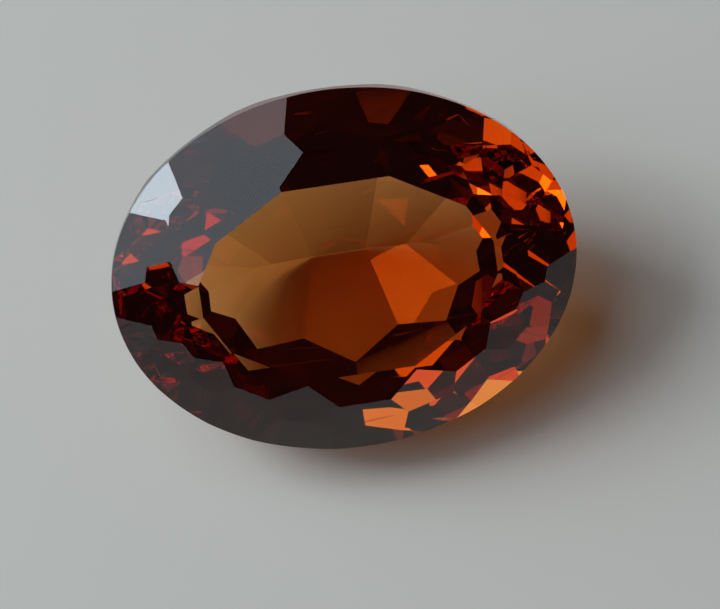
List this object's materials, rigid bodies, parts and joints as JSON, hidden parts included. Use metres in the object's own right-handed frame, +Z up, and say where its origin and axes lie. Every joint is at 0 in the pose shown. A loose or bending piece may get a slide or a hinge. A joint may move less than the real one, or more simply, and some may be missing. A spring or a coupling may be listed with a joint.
{
  "type": "faceted gemstone",
  "caption": "Loose oval mixed-cut topaz gemstone, deep orange-brown and clear, lying tilted on one flat pavilion facet with its table facing up and forward",
  "frame": {"origin": "Bottom centre of the stone's bounding box, on the surface that it lies on", "axes": "X runs along the oval's long side, Z is up from the surface, and Y completes a right-handed frame; the table faces up and towards -Y"},
  "size_m": [0.018, 0.0124, 0.0094],
  "materials": {
    "topaz": "polished, clear and see-through deep orange-brown stone with sharp facet edges"
  },
  "bodies": {
    "root": {"topaz": "topaz"}
  },
  "joints": []
}
